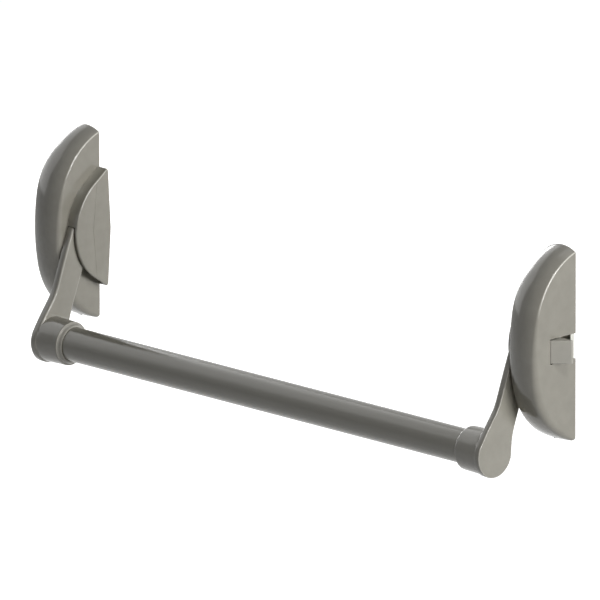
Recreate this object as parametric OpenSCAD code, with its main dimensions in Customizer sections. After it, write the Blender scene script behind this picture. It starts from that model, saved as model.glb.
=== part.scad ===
// Push bar for a fire exit door: a latch case and a pivot case on the door,
// joined by a round bar on two swinging arms.
// +X runs along the bar towards the latch edge of the door, +Y goes into the
// door, +Z is up. The door face is the plane Y = 0. The origin is the middle
// of the latch case's four fixing holes.

/* [Bar] */
// Distance between the middles of the two cases
case_spacing = 771; // [400:1:1200]
// Outside diameter of the push tube
tube_d = 40; // [34:1:42]
// Wall of the push tube
tube_wall = 1.6; // [1.2:0.1:3]
// Tube axis in front of the door face
tube_reach = 86; // [80:1:95]
// Tube axis below the arm pivot
tube_drop = 118.5; // [105:0.5:130]
// Push of the arms from rest to their stop, in degrees
push_angle = 18; // [12:1:18]

/* [Case] */
// Width of a case along the bar
case_w = 42; // [41.5:0.1:44]
// Depth of a case at its side corners
case_depth = 65.6; // [65:0.2:70]
// Radius of the front arc of a case, seen from the side
front_r = 233; // [200:1:260]
// Radius of the two shoulder arcs of a case
shoulder_r = 91; // [88:1:96]
// Half of the angle that the front arc spans
front_half_angle = 10; // [8:0.5:12]
// Rise of the crown across the width of a case
crown = 5.5; // [4:0.1:7]
// Wall of the case covers
cover_wall = 2.2; // [1.6:0.1:2.4]
// Thickness of the base plates
plate_t = 3; // [2.5:0.1:3.5]
// Gap between a base plate's ends and the inside of its cover
plate_gap = 4.2; // [4:0.1:8]

/* [Arm and cheek] */
// Arm pivot in front of the door face
pivot_depth = 30; // [29:0.5:31]
// Thickness of an arm
arm_t = 9.2; // [8:0.1:9.6]
// Gap between an arm and the case side
arm_gap = 0.8; // [0.5:0.1:1.2]
// Radius of the rounded lower end of an arm
arm_end_r = 27; // [26:0.5:29]
// Radius of the arm's hub
arm_hub_r = 18.5; // [15:0.5:19]
// Length of the cup, from the arm's inner face to the rim
cup_l = 31.3; // [28:0.1:40]
// Radius of the cup at its rim
cup_rim_r = 25.7; // [24.5:0.1:27]
// Length of the lip outside the rim
lip_l = 3.9; // [2:0.1:6]
// Radius of the cheek's round outline
cheek_r = 68; // [66:0.5:70]
// Depth of the cheek in front of the door face
cheek_depth = 52; // [51:0.5:54]
// Height of the cheek's flat front zone above the case side
cheek_out = 15.2; // [14.5:0.1:16]
// Height of the cheek's ridge above the case side
ridge_out = 17.8; // [16.5:0.1:19]
// Outer plate of the cheek
cheek_plate = 3.2; // [2.8:0.1:3.4]
// Rim wall of the cheek
cheek_rim = 2.5; // [2:0.1:3]
// Top of the arm's slot above the pivot
slot_top = 8; // [7.5:0.5:10]

/* [Latch bolt] */
// Height of the latch bolt
bolt_h = 27.2; // [24:0.1:28]
// Thickness of the latch bolt
bolt_t = 19.5; // [17:0.1:20]
// Front face of the latch bolt, in front of the door face
bolt_front = 41; // [40:0.5:41.5]
// How far the bolt stands out of the case
bolt_out = 17.3; // [16.5:0.1:19]
// Draw of the bolt from rest to fully back
bolt_travel = 15.5; // [14:0.1:15.5]
// Length of the latch bolt
bolt_l = 29; // [28.5:0.1:30]
// Middle of the bolt above the pivot
bolt_z = 1; // [0:0.5:2]
// Height of the notch in the latch case
notch_h = 29.8; // [29.5:0.1:31]

/* [Fixings] */
// Radius of the screw holes in the base plates
fix_r = 2.75; // [2.2:0.05:3.2]
// Spacing of the fixing holes across a base plate
fix_x = 24; // [20:1:26]
// Spacing of the fixing holes along a base plate
fix_z = 150; // [130:1:160]

/* [Hidden] */
$fn = 64;
paint = [0.62, 0.61, 0.58];
steel = [0.70, 0.71, 0.72];
zinc = [0.78, 0.78, 0.74];
brass = [0.80, 0.66, 0.35];
rubber = [0.12, 0.12, 0.12];
side = case_w / 2;

// Case outline: a front arc and two shoulder arcs that meet it smoothly
front_centre = case_depth - front_r;
shoulder_back = front_centre + (front_r - shoulder_r) * cos(front_half_angle);
shoulder_up = (front_r - shoulder_r) * sin(front_half_angle);
case_half_h = shoulder_up + sqrt(pow(shoulder_r, 2) - pow(shoulder_back, 2));
plate_h = 2 * (case_half_h - cover_wall - plate_gap);

// Cover fixings: a hook at the top and a screw at the bottom
slip = 0.3;
hook_in = 11;
hook_z = plate_h / 2 - hook_in;
hook_deep = 3.2;
lug_in = 12;
lug_z = -(plate_h / 2 - lug_in);
lug_t = 8;
lug_y = plate_t + 6;
lug_half_w = 8;
cover_screw_r = 2;
cover_head_r = 3.8;
cover_head_t = 2.6;
head_room = 10;
cover_seat_z = -case_half_h + 4.6;
rib_top = case_half_h + 0.4 * crown;
cover_boss_r = 5.4;

// Frame inside each case
frame_half_h = 42;
frame_t = 2.5;
frame_wall = 3;
frame_out = side - cover_wall - 0.5;
frame_in = frame_out - frame_wall;
frame_deep = 49;
frame_base = plate_t + frame_t;
rivet_r = 2;
rivet_x = 9;
rivet_z = 35;

// Spindle, its bushes and the arm on it
journal_r = 8;
journal_fit = 0.05;
bush_r = 10.5;
bush_flange_r = 13;
bush_flange_t = 1;
square_arm = 11;
square_cam = 9;
stub_r = 4;
stub_end = 34.6;
cheek_bush_r = 6;
cheek_pocket = 1.8;
arm_in = side + arm_gap;
arm_out = arm_in + arm_t;
plate_in = side + cheek_out - cheek_plate;
spindle_hole_r = journal_r + 1;
tube_r = tube_d / 2;
socket_floor = arm_out + 3;
end_y = tube_reach + 0.5;
end_z = -tube_drop - 1;
shank_front = [[-22.5, 99.5], [-8.5, 61.5], [-2.5, 50], [4.5, 40], [15, 26.5]];
front_turn = 35;
rear_turn = 12;
knee_out = 6.5;
knee_drop = 47;
cup_root_r = arm_end_r;
lip_r = tube_r + 1.6;
grub_r = 3;
grub_in = 17;
grub_x = arm_out + grub_in;

// Drive cam, bell crank and bolt drive, in the latch case
cam_x = 8;
cam_t = 6;
cam_hub_r = 10.5;
finger_r = 4;
finger_front = 22.3;
finger_low = 17.9;
crank_front = 57;
crank_t = 3;
crank_x = 1.3;
crank_arm = 29;
crank_z = bolt_z - crank_arm;
crank_swing = atan(bolt_travel / 2 / crank_arm);
drive_arm = 11.3;
drive_pin_r = 2.5;
drive_pin_back = 44;
post_r = 5;
post_pin_r = 3;
post_fit = 0.05;
clip_t = 0.8;
clip_gap = 2.6;
crank_hub_r = 8;
tail_t = 3;
tail_x = 2;
tail_end = frame_in - slip;
tail_low = 6;
tail_high = 8;
bolt_rivet_r = 1.5;
bolt_rivet_x = tail_end - bolt_rivet_r - 0.8;
bolt_rivet_z = [bolt_z - 4.2, bolt_z + 5.5];
bolt_rivet_l = 6;
bolt_pin_r = 2.5;
pin_x = crank_x + bolt_travel / 2;
slot_fit = 0.25;
bolt_in = side + bolt_out - bolt_l;
bolt_slip = 0.2;
guide_x = 4.5;
guide_wall = 3;
guide_end = frame_in;

// Cheek screws
cheek_screw_r = 2;
cheek_head_r = 3.6;
cheek_head_t = 2.2;
cheek_boss_r = 4.2;
cheek_screw_at = [[15, 49], [7.5, -49]];

// Return hub, spring and stops, in the pivot case
hub_x = 6;
hub_t = 7.8;
shaft_r = 4.4;
stop_l = 22.5;
stop_half_t = 3.5;
stop_gap = 0.3;
buffer_t = 8;
buffer_deep = 7.5;
buffer_w = 7;
spring_wire = 2.2;
spring_r = 7.6;
spring_turns = 4;
spring_pitch = 2.7;
spring_x = -8.5;
spring_reach = 14;
spring_pin_r = 1.6;
spring_pin_at = 14;
spring_pin_angle = asin((spring_r + spring_wire / 2 + spring_pin_r + 0.2) / spring_pin_at);
crank_spring_wire = 1.5;
crank_spring_r = 6.6;
crank_spring_turns = 4;
crank_spring_pitch = 2;
crank_spring_rise = crank_spring_turns * crank_spring_pitch;

// Turning angle of each station along a case's outline, from the lower door
// edge round the front to the upper one
door_angle = acos(-shoulder_back / shoulder_r);
steps = [0.15, 0.3, 0.45, 0.6, 0.75, 0.88, 1];
stations = concat(
  [for (i = [len(steps) - 1:-1:0])
    -front_half_angle - steps[i] * (door_angle - front_half_angle)],
  [-front_half_angle, -5, 0, 5, front_half_angle],
  [for (k = steps) front_half_angle + k * (door_angle - front_half_angle)]);

// Crown and edge rounding at a turning angle: crisp edges above, soft ones
// from mid height down, closing again at the lower end
function crown_at(a) = crown * lookup(a, [[-73, 0.25], [-40, 0.65], [0, 0.9], [30, 1], [73, 1]]);
function round_at(a) = lookup(a, [[-73, 2.4], [-60, 7], [-35, 6.8], [0, 4], [25, 1.6], [73, 1.4]]);

// Point of the side outline, as depth and height, moved out along its normal.
// The shoulders are stretched so that each line ends in the plane at a depth.
function end_angle(out, depth) = acos((depth - shoulder_back) / (shoulder_r + out));
function shoulder_angle(a, out, depth) = front_half_angle + (a - front_half_angle)
  * (end_angle(out, depth) - front_half_angle) / (door_angle - front_half_angle);
function shoulder_at(a, out) =
  [shoulder_back + (shoulder_r + out) * cos(a), shoulder_up + (shoulder_r + out) * sin(a)];
function outline_at(a, out, depth) = abs(a) <= front_half_angle
  ? [front_centre + (front_r + out) * cos(a), (front_r + out) * sin(a)]
  : let (p = shoulder_at(shoulder_angle(abs(a), out, depth), out)) [p[0], sign(a) * p[1]];

// Section across the bar's direction: [place across, offset along the normal]
function section_at(a, inset) =
  let (w = side - inset)
  let (r = max(round_at(a) - inset / 2, 1))
  let (half = [for (x = [0.4 * (w - r), 0.75 * (w - r), w - r])
    [x, crown_at(a) * (1 - pow(x / w, 2)) - inset]])
  let (edge = concat(half, [[w - 0.24 * r, -0.24 * r - inset], [w, -r - inset]]))
  concat([for (i = [len(edge) - 1:-1:0]) [-edge[i][0], edge[i][1]]],
    [[0, crown_at(a) - inset]], edge);

// All the points of one skin of a case, row by row along the outline
function skin_points(inset) = [for (a = stations) for (q = section_at(a, inset))
  let (p = outline_at(a, q[1], 0)) [q[0], -p[0], p[1]]];

// Triangles of a grid of points that starts at a given point, and its two
// flat side faces
function skin_faces(first, rows, cols) = concat(
  [for (i = [0:rows - 2]) for (j = [0:cols - 2])
    [first + i * cols + j, first + i * cols + j + 1, first + (i + 1) * cols + j + 1]],
  [for (i = [0:rows - 2]) for (j = [0:cols - 2])
    [first + i * cols + j, first + (i + 1) * cols + j + 1, first + (i + 1) * cols + j]],
  [[for (i = [0:rows - 1]) first + i * cols]],
  [[for (i = [rows - 1:-1:0]) first + i * cols + cols - 1]]);

function turned(faces) = [for (f = faces) [for (i = [len(f) - 1:-1:0]) f[i]]];

// Hollow case: an outer and an inner skin joined by a flat rim at the door
module case_shell(wall) {
  rows = len(stations);
  cols = len(section_at(0, 0));
  n = rows * cols;
  last = (rows - 1) * cols;
  rim = concat(
    [for (j = [0:cols - 2]) [j + 1, j, n + j, n + j + 1]],
    [for (j = [0:cols - 2]) [last + j, last + j + 1, n + last + j + 1, n + last + j]],
    [[0, last, n + last, n]],
    [[last + cols - 1, cols - 1, n + cols - 1, n + last + cols - 1]]);
  polyhedron(points = concat(skin_points(0), skin_points(wall)),
    faces = concat(turned(skin_faces(0, rows, cols)), skin_faces(n, rows, cols), turned(rim)));
}

// A bar along X from x0 to x1 at a depth and a height
module along_x(x0, x1, r, deep, up) {
  translate([x0, -deep, up])
    rotate([0, 90, 0])
      cylinder(r = r, h = x1 - x0);
}

// A bar along Y between two depths
module along_y(deep0, deep1, r, x, up) {
  translate([x, -deep0, up])
    rotate([90, 0, 0])
      cylinder(r = r, h = deep1 - deep0);
}

// A block between two corners given as x, depth and height
module block(x0, x1, deep0, deep1, z0, z1) {
  translate([x0, -deep1, z0])
    cube([x1 - x0, deep1 - deep0, z1 - z0]);
}

// A flat shape drawn in depth and height, extruded along the bar
module side_shape(x0, x1) {
  translate([x0, 0, 0])
    rotate([90, 0, -90])
      mirror([0, 0, 1])
        linear_extrude(x1 - x0)
          children();
}

// Die-cast cover: a hollow crowned shell with a hook rib, a screw boss and
// the holes for the spindle and the cheek screws on the arm's side
module case_cover() {
  difference() {
    union() {
      case_shell(cover_wall);
      block(-6, 6, plate_t + slip, plate_t + slip + hook_deep, hook_z + 4 + slip, rib_top);
      translate([0, -lug_y, cover_seat_z])
        cylinder(r = cover_boss_r, h = lug_z - lug_t / 2 - slip - cover_seat_z);
    }
    along_x(side - 2 * cover_wall, side + 1, spindle_hole_r, pivot_depth, 0);
    for (p = cheek_screw_at)
      along_x(side - 2 * cover_wall, side + 1, cheek_screw_r + 0.2, p[0], p[1]);
    translate([0, -lug_y, cover_seat_z - head_room])
      cylinder(r = cover_screw_r + slip, h = 4 * head_room);
    translate([0, -lug_y, cover_seat_z - head_room])
      cylinder(r = cover_head_r + slip, h = head_room);
  }
}

// Base plate with four fixing holes, rivet holes, a hook and a screw lug
module base_plate() {
  half_w = frame_out;
  difference() {
    union() {
      block(-half_w, half_w, 0, plate_t, -plate_h / 2, plate_h / 2);
      block(-7, 7, plate_t, plate_t + 2 * slip + hook_deep + 2.6, hook_z - 4, hook_z + 4);
      block(-7, 7, plate_t + 2 * slip + hook_deep, plate_t + 2 * slip + hook_deep + 2.6,
        hook_z, hook_z + 8);
      block(-lug_half_w, lug_half_w, plate_t, lug_y + 5, lug_z - lug_t / 2, lug_z + lug_t / 2);
    }
    for (x = [-fix_x / 2, fix_x / 2])
      for (z = [-fix_z / 2, fix_z / 2])
        along_y(-1, plate_t + 1, fix_r, x, z);
    for (x = [-rivet_x, rivet_x])
      for (z = [-rivet_z, rivet_z])
        along_y(-1, plate_t + 1, rivet_r, x, z);
    translate([0, -lug_y, lug_z - lug_t])
      cylinder(r = cover_screw_r, h = 2 * lug_t);
  }
}

// Channel of bent steel that carries the spindle bush, riveted to the base plate
module frame_channel() {
  difference() {
    block(-frame_out, frame_out, plate_t, frame_deep, -frame_half_h, frame_half_h);
    block(-frame_in, frame_in, frame_base, frame_deep + 1, -frame_half_h - 1, frame_half_h + 1);
    along_x(frame_in - 1, frame_out + 1, bush_r, pivot_depth, 0);
    for (x = [-rivet_x, rivet_x])
      for (z = [-rivet_z, rivet_z])
        along_y(plate_t - 1, frame_base + 1, rivet_r, x, z);
  }
}

// Four rivets through the frame's floor and the base plate
module frame_rivets() {
  for (x = [-rivet_x, rivet_x])
    for (z = [-rivet_z, rivet_z]) {
      along_y(0, frame_base, rivet_r, x, z);
      along_y(frame_base, frame_base + 1.4, rivet_r + 1.5, x, z);
    }
}

// Flanged bronze bush in the frame's wall
module spindle_bush() {
  difference() {
    union() {
      along_x(frame_in, frame_out, bush_r, pivot_depth, 0);
      along_x(frame_in - bush_flange_t, frame_in, bush_flange_r, pivot_depth, 0);
    }
    along_x(frame_in - 5, frame_out + 5, journal_r + journal_fit, pivot_depth, 0);
  }
}

// Round outline of the cheek, in depth and height
module cheek_outline(inset) {
  intersection() {
    translate([cheek_depth - cheek_r, 0])
      circle(r = cheek_r - inset, $fn = 180);
    translate([inset, -cheek_r])
      square([cheek_depth + 1, 2 * cheek_r]);
  }
}

// Shallow ridge on the rear half of the cheek: two facets that rise to the
// door edge at mid height and fade out along the crease
module cheek_ridge() {
  half = sqrt(pow(cheek_r, 2) - pow(cheek_depth - cheek_r, 2));
  crease_end = 18;
  crease_mid = 23.7;
  end_z = sqrt(pow(cheek_r, 2) - pow(crease_end - cheek_depth + cheek_r, 2));
  low = side + cheek_out - 1;
  flat = side + cheek_out - 0.1;
  top = side + ridge_out;
  rim = [[0, 0], [crease_mid, 0], [crease_end, end_z], [0, half], [0, -half], [crease_end, -end_z]];
  heights = [top, flat, flat, flat, flat, flat];
  points = concat([for (p = rim) [low, -p[0], p[1]]],
    [for (i = [0:5]) [heights[i], -rim[i][0], rim[i][1]]]);
  polyhedron(points = points, faces = [
    [0, 3, 2], [0, 2, 1], [0, 1, 5], [0, 5, 4],
    [6, 8, 9], [6, 7, 8], [6, 11, 7], [6, 10, 11],
    [1, 2, 8], [1, 8, 7], [2, 3, 9], [2, 9, 8], [4, 5, 11], [4, 11, 10],
    [5, 1, 7], [5, 7, 11], [3, 0, 6], [3, 6, 9], [0, 4, 10], [0, 10, 6]]);
}

// Cheek: an outer plate on a rim wall that is open below the slot's top, so
// that the arm can come out between the plate and the case
module arm_cheek() {
  difference() {
    union() {
      side_shape(plate_in, side + cheek_out)
        cheek_outline(0);
      cheek_ridge();
      intersection() {
        side_shape(side, plate_in + 1)
          difference() {
            cheek_outline(0);
            cheek_outline(cheek_rim);
          }
        union() {
          block(side - 1, side + cheek_out, 0, cheek_depth + 1, slot_top, cheek_r);
          block(side - 1, side + cheek_out, 0, cheek_rim, -cheek_r, cheek_r);
        }
      }
      intersection() {
        for (p = cheek_screw_at)
          along_x(side, plate_in + 1, cheek_boss_r, p[0], p[1]);
        side_shape(side, plate_in + 1)
          cheek_outline(0);
      }
    }
    for (p = cheek_screw_at)
      along_x(side - 1, plate_in - 1, cheek_screw_r, p[0], p[1]);
    along_x(plate_in - 1, plate_in + cheek_pocket, cheek_bush_r, pivot_depth, 0);
  }
}

// Plastic bush in the cheek's pocket, round the spindle's outer stub
module cheek_bush() {
  difference() {
    along_x(arm_out + 0.3, plate_in + cheek_pocket, cheek_bush_r, pivot_depth, 0);
    along_x(arm_out - 1, plate_in + cheek_pocket + 1, stub_r + journal_fit, pivot_depth, 0);
  }
}

// Two screws from inside the cover into the cheek's bosses
module cheek_screws() {
  for (p = cheek_screw_at) {
    along_x(side - cover_wall, plate_in - 3, cheek_screw_r, p[0], p[1]);
    along_x(side - cover_wall - cheek_head_t, side - cover_wall, cheek_head_r, p[0], p[1]);
  }
}

// Screw from below that holds the cover to the base plate's lug
module cover_screw() {
  translate([0, -lug_y, cover_seat_z])
    cylinder(r = cover_screw_r, h = lug_z + lug_t / 2 + 1 - cover_seat_z);
  translate([0, -lug_y, cover_seat_z - cover_head_t])
    cylinder(r = cover_head_r, h = cover_head_t);
}

// Arm outline in depth and height: a hub, a shank that flares at its lower
// end, and a round end about the tube
module arm_outline() {
  inner_r = arm_end_r - 0.2;
  translate([pivot_depth, 0])
    circle(r = arm_hub_r);
  translate([end_y, end_z])
    circle(r = arm_end_r);
  polygon(concat(
    [[pivot_depth, slot_top - 0.4], [cheek_depth + 1, slot_top - 0.4]],
    [for (p = shank_front) [tube_reach + p[0], end_z + p[1]]],
    [[end_y + inner_r * cos(front_turn), end_z + inner_r * sin(front_turn)],
      [end_y, end_z],
      [end_y - inner_r * cos(rear_turn), end_z + inner_r * sin(rear_turn)],
      [pivot_depth + knee_out, -knee_drop],
      [pivot_depth - arm_hub_r * cos(30) + 0.1, -arm_hub_r * sin(30)]]));
}

// Die-cast arm with the cup that holds the tube
module arm() {
  difference() {
    union() {
      side_shape(arm_in, arm_out)
        arm_outline();
      translate([arm_out - 1, -tube_reach, -tube_drop])
        rotate([0, 90, 0])
          cylinder(r1 = cup_root_r - 0.2, r2 = cup_rim_r, h = cup_l + 1);
      translate([arm_out + cup_l, -tube_reach, -tube_drop])
        rotate([0, 90, 0])
          cylinder(r1 = cup_rim_r, r2 = lip_r, h = lip_l);
    }
    along_x(socket_floor, arm_out + cup_l + lip_l + 1, tube_r, tube_reach, -tube_drop);
    block(arm_in - 1, arm_out + 1, pivot_depth - square_arm / 2, pivot_depth + square_arm / 2,
      -square_arm / 2, square_arm / 2);
    translate([grub_x, -tube_reach, -tube_drop - cup_root_r - 5])
      cylinder(r = grub_r, h = cup_root_r);
  }
}

// Grub screw from under the cup into the tube
module grub_screw() {
  translate([grub_x, -tube_reach, -tube_drop - cup_rim_r + 0.5])
    cylinder(r = grub_r, h = cup_rim_r - 0.5 - tube_r + tube_wall);
}

// The outer part of a spindle: stub in the cheek, square in the arm, journal
module spindle_outer(end) {
  along_x(arm_out, stub_end, stub_r, pivot_depth, 0);
  block(arm_in, arm_out, pivot_depth - square_arm / 2, pivot_depth + square_arm / 2,
    -square_arm / 2, square_arm / 2);
  along_x(end, arm_in, journal_r, pivot_depth, 0);
}

// A round wire swept along a coil with two straight legs. The coil turns
// about the Z axis from height 0 up.
function coil_path(r, turns, pitch, leg0, leg1, steps) = concat(
  [[r, -leg0, 0]],
  [for (i = [0:turns * steps])
    [r * cos(360 * i / steps), r * sin(360 * i / steps), pitch * i / steps]],
  [[r, leg1, pitch * turns]]);

function unit(v) = v / norm(v);

module swept_wire(path, wire_r) {
  n = len(path);
  sides = 6;
  rings = [for (i = [0:n - 1])
    let (t = unit(path[min(i + 1, n - 1)] - path[max(i - 1, 0)]))
    let (a = unit(cross(t, [0, 0, 1])))
    let (b = cross(t, a))
    [for (k = [0:sides - 1])
      path[i] + wire_r * (a * cos(360 * k / sides) + b * sin(360 * k / sides))]];
  points = [for (ring = rings) for (p = ring) p];
  faces = concat(
    [[for (k = [0:sides - 1]) k]],
    [for (i = [0:n - 2]) for (k = [0:sides - 1])
      [i * sides + k, (i + 1) * sides + k, (i + 1) * sides + (k + 1) % sides]],
    [for (i = [0:n - 2]) for (k = [0:sides - 1])
      [i * sides + k, (i + 1) * sides + (k + 1) % sides, i * sides + (k + 1) % sides]],
    [[for (k = [sides - 1:-1:0]) (n - 1) * sides + k]]);
  polyhedron(points = points, faces = faces);
}

// Latch side: the case pieces are mirrored so that the arm is on the -X side
module on_latch_side() {
  mirror([1, 0, 0])
    children();
}

// Pivot side: the same pieces at the other end of the bar
module on_pivot_side() {
  translate([-case_spacing, 0, 0])
    children();
}

module latch_case_cover() {
  color(paint)
    difference() {
      on_latch_side()
        case_cover();
      block(side - 3 * cover_wall, side + 1, -1, bolt_front + 0.3,
        bolt_z - notch_h / 2, bolt_z + notch_h / 2);
    }
}

module latch_base_plate() {
  color(zinc)
    base_plate();
}

// The frame of the latch case is also open where the bolt and the keeper go
module latch_frame() {
  color(zinc)
    difference() {
      on_latch_side()
        frame_channel();
      block(frame_in - 1, frame_out + 1, frame_base, bolt_front + 0.5,
        bolt_z - notch_h / 2, bolt_z + notch_h / 2);
      along_y(plate_t - 1, frame_base + 1, post_r - 1, crank_x, crank_z);
    }
}

// Block that the bolt slides in, with a groove for the tail plate
module bolt_guide() {
  color(zinc)
    difference() {
      block(guide_x, guide_end, bolt_front - bolt_t - guide_wall, bolt_front + tail_t + guide_wall,
        bolt_z - bolt_h / 2 - guide_wall - 2, bolt_z + bolt_h / 2 + guide_wall + 2);
      block(guide_x - 1, guide_end + 1, bolt_front - bolt_t - bolt_slip, bolt_front + bolt_slip,
        bolt_z - bolt_h / 2 - bolt_slip, bolt_z + bolt_h / 2 + bolt_slip);
      block(guide_x - 1, guide_end + 1, bolt_front, bolt_front + tail_t + bolt_slip,
        bolt_z - tail_low - bolt_slip, bolt_z + tail_high + bolt_slip);
      block(guide_x - 1, pin_x + bolt_pin_r + 2, bolt_front + 1, bolt_front + tail_t + guide_wall + 1,
        bolt_z - bolt_h, bolt_z + tail_high + bolt_slip);
    }
}

module latch_spindle_bush() {
  color(brass)
    on_latch_side()
      spindle_bush();
}

module latch_arm_cheek() {
  color(paint)
    on_latch_side()
      arm_cheek();
}

module latch_cheek_bush() {
  color(rubber)
    on_latch_side()
      cheek_bush();
}

module latch_cover_screw() {
  color(steel)
    cover_screw();
}

module latch_cheek_screws() {
  color(steel)
    on_latch_side()
      cheek_screws();
}

module latch_frame_rivets() {
  color(steel)
    frame_rivets();
}

// Post that carries the bell crank in front of the bolt's path
module crank_post() {
  color(steel)
    difference() {
      union() {
        along_y(plate_t, frame_base, post_r - 1, crank_x, crank_z);
        along_y(frame_base, crank_front - slip, post_r, crank_x, crank_z);
        along_y(crank_front - slip, crank_front + crank_t + 2.4, post_pin_r, crank_x, crank_z);
      }
      difference() {
        along_y(crank_front + crank_t + slip, crank_front + crank_t + slip + clip_t,
          post_pin_r + 1, crank_x, crank_z);
        along_y(crank_front, crank_front + crank_t + 3, post_pin_r - 0.5, crank_x, crank_z);
      }
    }
}

// Open ring in the groove at the post's end
module crank_circlip() {
  color(steel)
    difference() {
      along_y(crank_front + crank_t + slip, crank_front + crank_t + slip + clip_t,
        post_pin_r + 2.2, crank_x, crank_z);
      along_y(crank_front, crank_front + crank_t + 3, post_pin_r - 0.5, crank_x, crank_z);
      block(crank_x - clip_gap / 2, crank_x + clip_gap / 2, crank_front, crank_front + crank_t + 3,
        crank_z - crank_hub_r, crank_z);
    }
}

// Torsion spring round the post: one leg on the frame's wall, one on the crank
module crank_spring() {
  color(steel)
    translate([crank_x, crank_spring_rise + slip + crank_spring_wire / 2 - crank_front, crank_z])
      rotate([90, 0, 0])
        rotate([0, 0, -90])
          swept_wire(coil_path(crank_spring_r, crank_spring_turns, crank_spring_pitch,
            frame_in + crank_x - 0.2, crank_spring_r, 12), crank_spring_wire / 2);
}

// Latch bolt: a block whose nose is bevelled on the side that meets the keeper
module latch_bolt() {
  color(zinc)
    difference() {
      block(bolt_in, side + bolt_out, bolt_front - bolt_t, bolt_front,
        bolt_z - bolt_h / 2, bolt_z + bolt_h / 2);
      translate([side, -bolt_front - 0.001, bolt_z - bolt_h])
        rotate([0, 0, 45])
          translate([0, -2 * bolt_out, 0])
            cube([2 * bolt_out, 2 * bolt_out, 2 * bolt_h]);
      for (z = bolt_rivet_z)
        along_y(bolt_front - bolt_rivet_l, bolt_front + 1, bolt_rivet_r, bolt_rivet_x, z);
    }
}

// Plate on the bolt's front face that carries the drive pin
module bolt_tail_plate() {
  color(zinc)
    difference() {
      block(tail_x, tail_end, bolt_front, bolt_front + tail_t,
        bolt_z - tail_low, bolt_z + tail_high);
      along_y(bolt_front - 1, bolt_front + tail_t + 1, bolt_pin_r, pin_x, bolt_z);
      for (z = bolt_rivet_z)
        along_y(bolt_front - 1, bolt_front + tail_t + 1, bolt_rivet_r, bolt_rivet_x, z);
    }
}

module bolt_rivets() {
  color(steel)
    for (z = bolt_rivet_z)
      along_y(bolt_front - bolt_rivet_l, bolt_front + tail_t, bolt_rivet_r, bolt_rivet_x, z);
}

// Pin riveted in the tail plate, which the crank's fork pulls
module bolt_pin() {
  color(steel)
    along_y(bolt_front, crank_front + crank_t + 1, bolt_pin_r, pin_x, bolt_z);
}

// Bell crank: a forked long arm to the bolt's pin and a short arm to the cam
module bell_crank() {
  color(steel)
    translate([crank_x, -crank_front, crank_z])
      rotate([90, 0, 0])
        rotate([0, 0, -crank_swing])
          linear_extrude(crank_t)
            difference() {
              union() {
                circle(r = crank_hub_r);
                translate([-5, 0])
                  square([10, crank_arm]);
                translate([0, crank_arm + 0.6])
                  circle(r = 6.5);
                translate([-drive_arm, -4])
                  square([drive_arm, 8]);
                translate([-drive_arm, 0])
                  circle(r = 4.6);
              }
              circle(r = post_pin_r + post_fit);
              translate([-drive_arm, 0])
                circle(r = drive_pin_r);
              translate([-bolt_pin_r - slot_fit, crank_arm - bolt_pin_r - slot_fit])
                square([2 * (bolt_pin_r + slot_fit), 2 * crank_hub_r]);
            }
}

// Pin on the crank's short arm that the cam's finger pushes down
module crank_drive_pin() {
  color(steel)
    translate([crank_x, 0, crank_z])
      rotate([0, crank_swing, 0])
        along_y(drive_pin_back, crank_front + crank_t, drive_pin_r, -drive_arm, 0);
}

// Cam on the latch spindle, with the finger that turns the crank
module drive_cam() {
  color(steel)
    on_latch_side()
      side_shape(cam_x, cam_x + cam_t)
        translate([pivot_depth, 0])
          difference() {
            union() {
              circle(r = cam_hub_r);
              translate([finger_front, -finger_low])
                circle(r = finger_r);
              rotate([0, 0, -atan(finger_low / finger_front)])
                translate([0, -finger_r + 0.3])
                  square([norm([finger_front, finger_low]), 2 * finger_r - 0.6]);
            }
            translate([-square_cam / 2, -square_cam / 2])
              square(square_cam);
          }
}

module cam_circlip() {
  color(steel)
    on_latch_side()
      difference() {
        along_x(cam_x - clip_t, cam_x, stub_r + 3, pivot_depth, 0);
        along_x(cam_x - 2, cam_x + 1, stub_r, pivot_depth, 0);
        block(cam_x - 2, cam_x + 1, pivot_depth - cam_hub_r, pivot_depth, -clip_gap / 2, clip_gap / 2);
      }
}

module latch_spindle() {
  color(steel)
    on_latch_side() {
      spindle_outer(cam_x + cam_t);
      block(cam_x, cam_x + cam_t, pivot_depth - square_cam / 2, pivot_depth + square_cam / 2,
        -square_cam / 2, square_cam / 2);
      along_x(cam_x - 1, cam_x, stub_r, pivot_depth, 0);
    }
}

module latch_arm() {
  color(paint)
    on_latch_side()
      arm();
}

module pivot_arm() {
  color(paint)
    on_pivot_side()
      arm();
}

// The push tube, whose ends stand in the two cups
module push_tube() {
  color(paint)
    difference() {
      along_x(-case_spacing + socket_floor, -socket_floor, tube_r, tube_reach, -tube_drop);
      along_x(-case_spacing, 0, tube_r - tube_wall, tube_reach, -tube_drop);
      for (x = [-case_spacing + grub_x, -grub_x])
        translate([x, -tube_reach, -tube_drop - tube_r - 1])
          cylinder(r = grub_r, h = tube_r);
    }
}

module tube_grub_screws() {
  color(steel) {
    on_latch_side()
      grub_screw();
    on_pivot_side()
      grub_screw();
  }
}

// Long spindle that also carries the return hub and spring
module pivot_spindle() {
  color(steel)
    on_pivot_side() {
      spindle_outer(hub_x + hub_t);
      block(hub_x, hub_x + hub_t, pivot_depth - square_cam / 2, pivot_depth + square_cam / 2,
        -square_cam / 2, square_cam / 2);
      along_x(-frame_out, hub_x, shaft_r, pivot_depth, 0);
    }
}

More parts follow.
